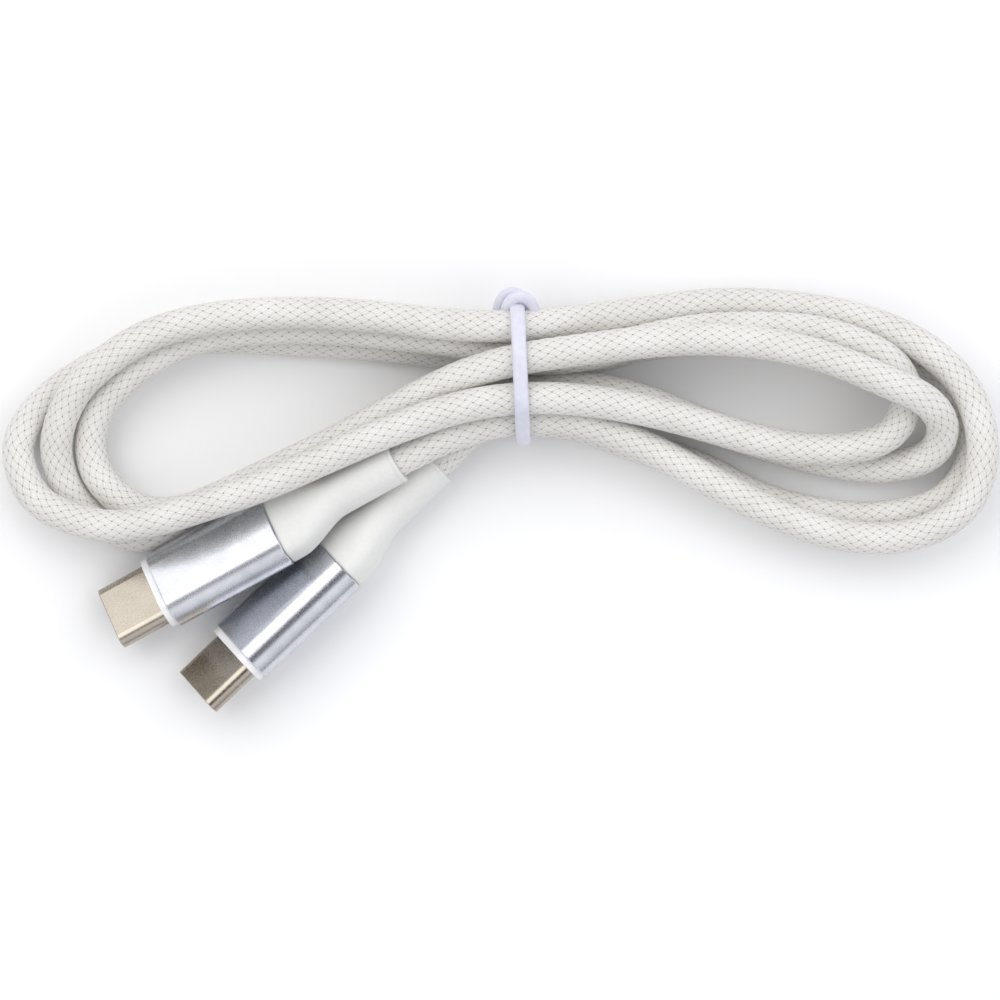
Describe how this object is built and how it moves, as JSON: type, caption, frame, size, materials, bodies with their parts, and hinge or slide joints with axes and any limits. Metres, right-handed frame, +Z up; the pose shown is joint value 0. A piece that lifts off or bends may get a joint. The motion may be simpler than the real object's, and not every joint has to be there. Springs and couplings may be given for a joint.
{
  "type": "charging cable",
  "caption": "Woven-sleeved charging cable folded in a bow-shaped hank and tied at its waist, with a metal-cased plug on each end.",
  "frame": {"origin": "centre of the bounding box's base, on the surface that the hank lies on", "axes": "+X along the hank's length to the right, +Y to its far side, +Z up from the surface"},
  "size_m": [0.1187, 0.0506, 0.0142],
  "materials": {
    "nickel_nose": "satin nickel plate",
    "black_plastic": "moulded",
    "gold_contacts": "gold plated",
    "spring_steel": "bright rolled steel",
    "board": "solder mask",
    "capacitor_ceramic": "ceramic",
    "gloss_white_plastic": "polished white",
    "core_plastic": "moulded",
    "satin_aluminium": "bead-blasted and anodised",
    "white_relief": "smooth matt off-white elastomer",
    "braid": "woven off-white yarn",
    "cord_jacket": "soft elastomer",
    "core_insulation": "soft elastomer",
    "tie": "smooth lilac-white"
  },
  "bodies": {
    "hank": {"aluminium_case_a": "satin_aluminium", "braided_sleeve": "braid", "cable_jacket": "cord_jacket", "capacitors_a": "capacitor_ceramic", "captured_cord_a": "braid", "circuit_board_a": "board", "contact_housing_a": "black_plastic", "control_core": "core_insulation", "crimp_ferrule_a": "spring_steel", "data_core": "core_insulation", "emi_spring_bottom_a": "spring_steel", "emi_spring_top_a": "spring_steel", "front_bezel_a": "gloss_white_plastic", "ground_core": "core_insulation", "id_chip_a": "black_plastic", "inner_mould_a": "core_plastic", "latch_plate_a": "spring_steel", "lower_contacts_a": "gold_contacts", "nose_shell_a": "nickel_nose", "power_core": "core_insulation", "shield_can_bottom_a": "spring_steel", "shield_can_top_a": "spring_steel", "strain_relief_a": "white_relief", "tie_band": "tie", "tie_knot": "tie", "upper_contacts_a": "gold_contacts", "wire_ends_a": "core_insulation"},
    "plug_b": {"aluminium_case_b": "satin_aluminium", "capacitors_b": "capacitor_ceramic", "captured_cord_b": "braid", "circuit_board_b": "board", "contact_housing_b": "black_plastic", "crimp_ferrule_b": "spring_steel", "emi_spring_bottom_b": "spring_steel", "emi_spring_top_b": "spring_steel", "front_bezel_b": "gloss_white_plastic", "id_chip_b": "black_plastic", "inner_mould_b": "core_plastic", "latch_plate_b": "spring_steel", "lower_contacts_b": "gold_contacts", "nose_shell_b": "nickel_nose", "shield_can_bottom_b": "spring_steel", "shield_can_top_b": "spring_steel", "strain_relief_b": "white_relief", "upper_contacts_b": "gold_contacts", "wire_ends_b": "core_insulation"},
    "latch_arm_near_a": {"latch_arm_near_a": "spring_steel"},
    "latch_arm_far_a": {"latch_arm_far_a": "spring_steel"},
    "latch_arm_near_b": {"latch_arm_near_b": "spring_steel"},
    "latch_arm_far_b": {"latch_arm_far_b": "spring_steel"}
  },
  "joints": [
    {"name": "plug_b_swing", "type": "hinge", "parent": "hank", "child": "plug_b", "pos_m": [-0.00735, 0.0046, 0.00436], "axis": [0, 0, 1], "range_deg": [0, 20]},
    {"name": "latch_near_a", "type": "hinge", "parent": "hank", "child": "latch_arm_near_a", "pos_m": [-0.03998, -0.01406, 0.00588], "axis": [-0.3271, 0.3558, 0.8755], "range_deg": [0, 2], "stiffness_Nm_per_rad": 0.004},
    {"name": "latch_far_a", "type": "hinge", "parent": "hank", "child": "latch_arm_far_a", "pos_m": [-0.04257, -0.00849, 0.00265], "axis": [0.3271, -0.3558, -0.8755], "range_deg": [0, 2], "stiffness_Nm_per_rad": 0.004},
    {"name": "latch_near_b", "type": "hinge", "parent": "plug_b", "child": "latch_arm_near_b", "pos_m": [-0.03013, -0.02049, 0.00682], "axis": [-0.4876, 0.5121, 0.7071], "range_deg": [0, 2], "stiffness_Nm_per_rad": 0.004},
    {"name": "latch_far_b", "type": "hinge", "parent": "plug_b", "child": "latch_arm_far_b", "pos_m": [-0.03352, -0.01693, 0.0019], "axis": [0.4876, -0.5121, -0.7071], "range_deg": [0, 2], "stiffness_Nm_per_rad": 0.004}
  ]
}
